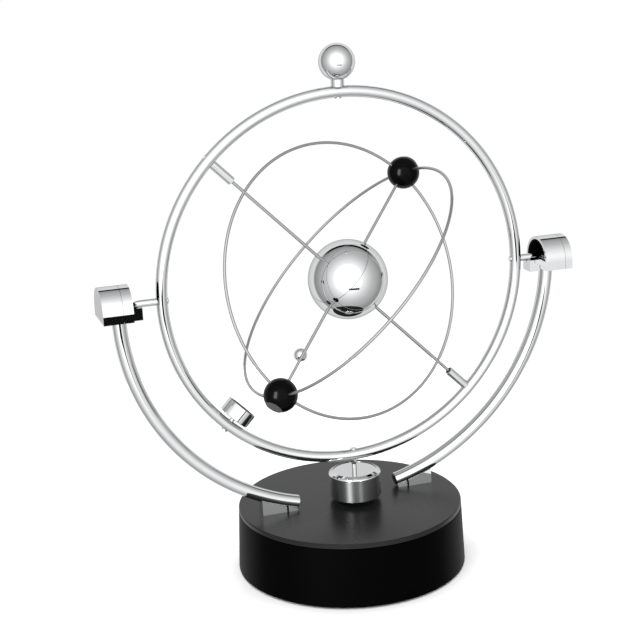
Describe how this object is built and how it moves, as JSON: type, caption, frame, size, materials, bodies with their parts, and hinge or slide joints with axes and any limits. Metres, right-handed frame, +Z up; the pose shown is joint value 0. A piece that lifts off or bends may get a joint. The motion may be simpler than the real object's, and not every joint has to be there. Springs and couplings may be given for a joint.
{
  "type": "kinetic orbital desk mobile",
  "caption": "Chrome kinetic desk mobile: a weighted ring rocks on two curved arms above a round black base, and a sphere with thin wire rings spins about a slanting spindle inside it.",
  "frame": {"origin": "centre of the base at table height, under the four rubber feet", "axes": "+Z up; X along the pivot line through both hoods; the pictured front faces -Y"},
  "size_m": [0.246, 0.1454, 0.2699],
  "materials": {
    "base_black": "satin moulded black plastic",
    "plate_black": "semi-gloss dark grey plastic",
    "under_black": "fine-textured black plastic",
    "foot_rubber": "soft dark rubber",
    "screw_steel": "zinc-plated steel",
    "black_screw": "blackened steel",
    "tray_plastic": "moulded plastic",
    "cell_sleeve": "printed film over steel, left plain",
    "contact_metal": "nickel-plated spring steel",
    "bobbin_plastic": "moulded nylon",
    "copper": "enamelled copper wire",
    "core_iron": "soft iron",
    "board": "green lacquered board",
    "component_body": "moulded component bodies",
    "lead_red": "insulated wire",
    "chrome": "polished chrome plate",
    "wire_steel": "polished steel wire",
    "liner_black": "unplated dark inside",
    "ball_black": "glossy black",
    "magnet_grey": "nickel-plated magnet",
    "magnet_dark": "sintered magnet",
    "bush_brass": "turned brass"
  },
  "bodies": {
    "stand": {"base_shell": "base_black", "top_plate": "plate_black", "bottom_plate": "under_black", "rubber_feet": "foot_rubber", "case_screws": "screw_steel", "battery_tray": "tray_plastic", "battery_cells": "cell_sleeve", "contact_plates": "contact_metal", "contact_springs": "contact_metal", "coil_bobbin": "bobbin_plastic", "coil_winding": "copper", "coil_core": "core_iron", "circuit_board": "board", "drive_transistor": "component_body", "board_parts": "component_body", "battery_leads": "lead_red", "coil_leads": "copper", "left_arm": "chrome", "right_arm": "chrome", "left_arm_plug": "chrome", "right_arm_plug": "black_screw", "left_foot_wedge": "chrome", "right_foot_wedge": "chrome", "foot_screws": "black_screw", "left_hood_sleeve": "chrome", "left_hood_cap": "chrome", "right_hood_sleeve": "chrome", "right_hood_cap": "chrome", "left_hood_liner": "liner_black", "right_hood_liner": "liner_black", "left_cradle": "chrome", "right_cradle": "chrome", "cradle_screws": "screw_steel"},
    "battery_door_body": {"battery_door": "under_black"},
    "rocking_ring": {"main_ring": "chrome", "left_pivot_pin": "chrome", "right_pivot_pin": "chrome", "top_ball": "chrome", "top_ball_stud": "chrome", "weight_shell": "chrome", "weight_magnet": "magnet_dark", "weight_stud": "chrome", "magnet_cup": "chrome", "cup_magnet": "magnet_dark", "cup_stud": "chrome", "upper_sleeve": "chrome", "lower_sleeve": "chrome", "upper_bush": "bush_brass", "lower_bush": "bush_brass"},
    "spinning_set": {"spindle": "wire_steel", "central_sphere": "chrome", "cross_rod": "wire_steel", "upper_ball": "ball_black", "lower_ball": "ball_black", "upper_ball_magnet": "magnet_grey", "lower_ball_magnet": "magnet_grey", "wire_ring_a": "wire_steel", "wire_ring_b": "wire_steel", "balance_bead": "chrome"}
  },
  "joints": [
    {"name": "ring_swing", "type": "hinge", "parent": "stand", "child": "rocking_ring", "pos_m": [0, 0, 0.1525], "axis": [1, 0, 0], "continuous": true},
    {"name": "spindle_spin", "type": "hinge", "parent": "rocking_ring", "child": "spinning_set", "pos_m": [0.00172, 0, 0.15222], "axis": [0.7071, 0, -0.7071], "continuous": true},
    {"name": "battery_door_slide", "type": "slide", "parent": "stand", "child": "battery_door_body", "axis": [0, -1, 0], "range_m": [0, 0.01]}
  ]
}
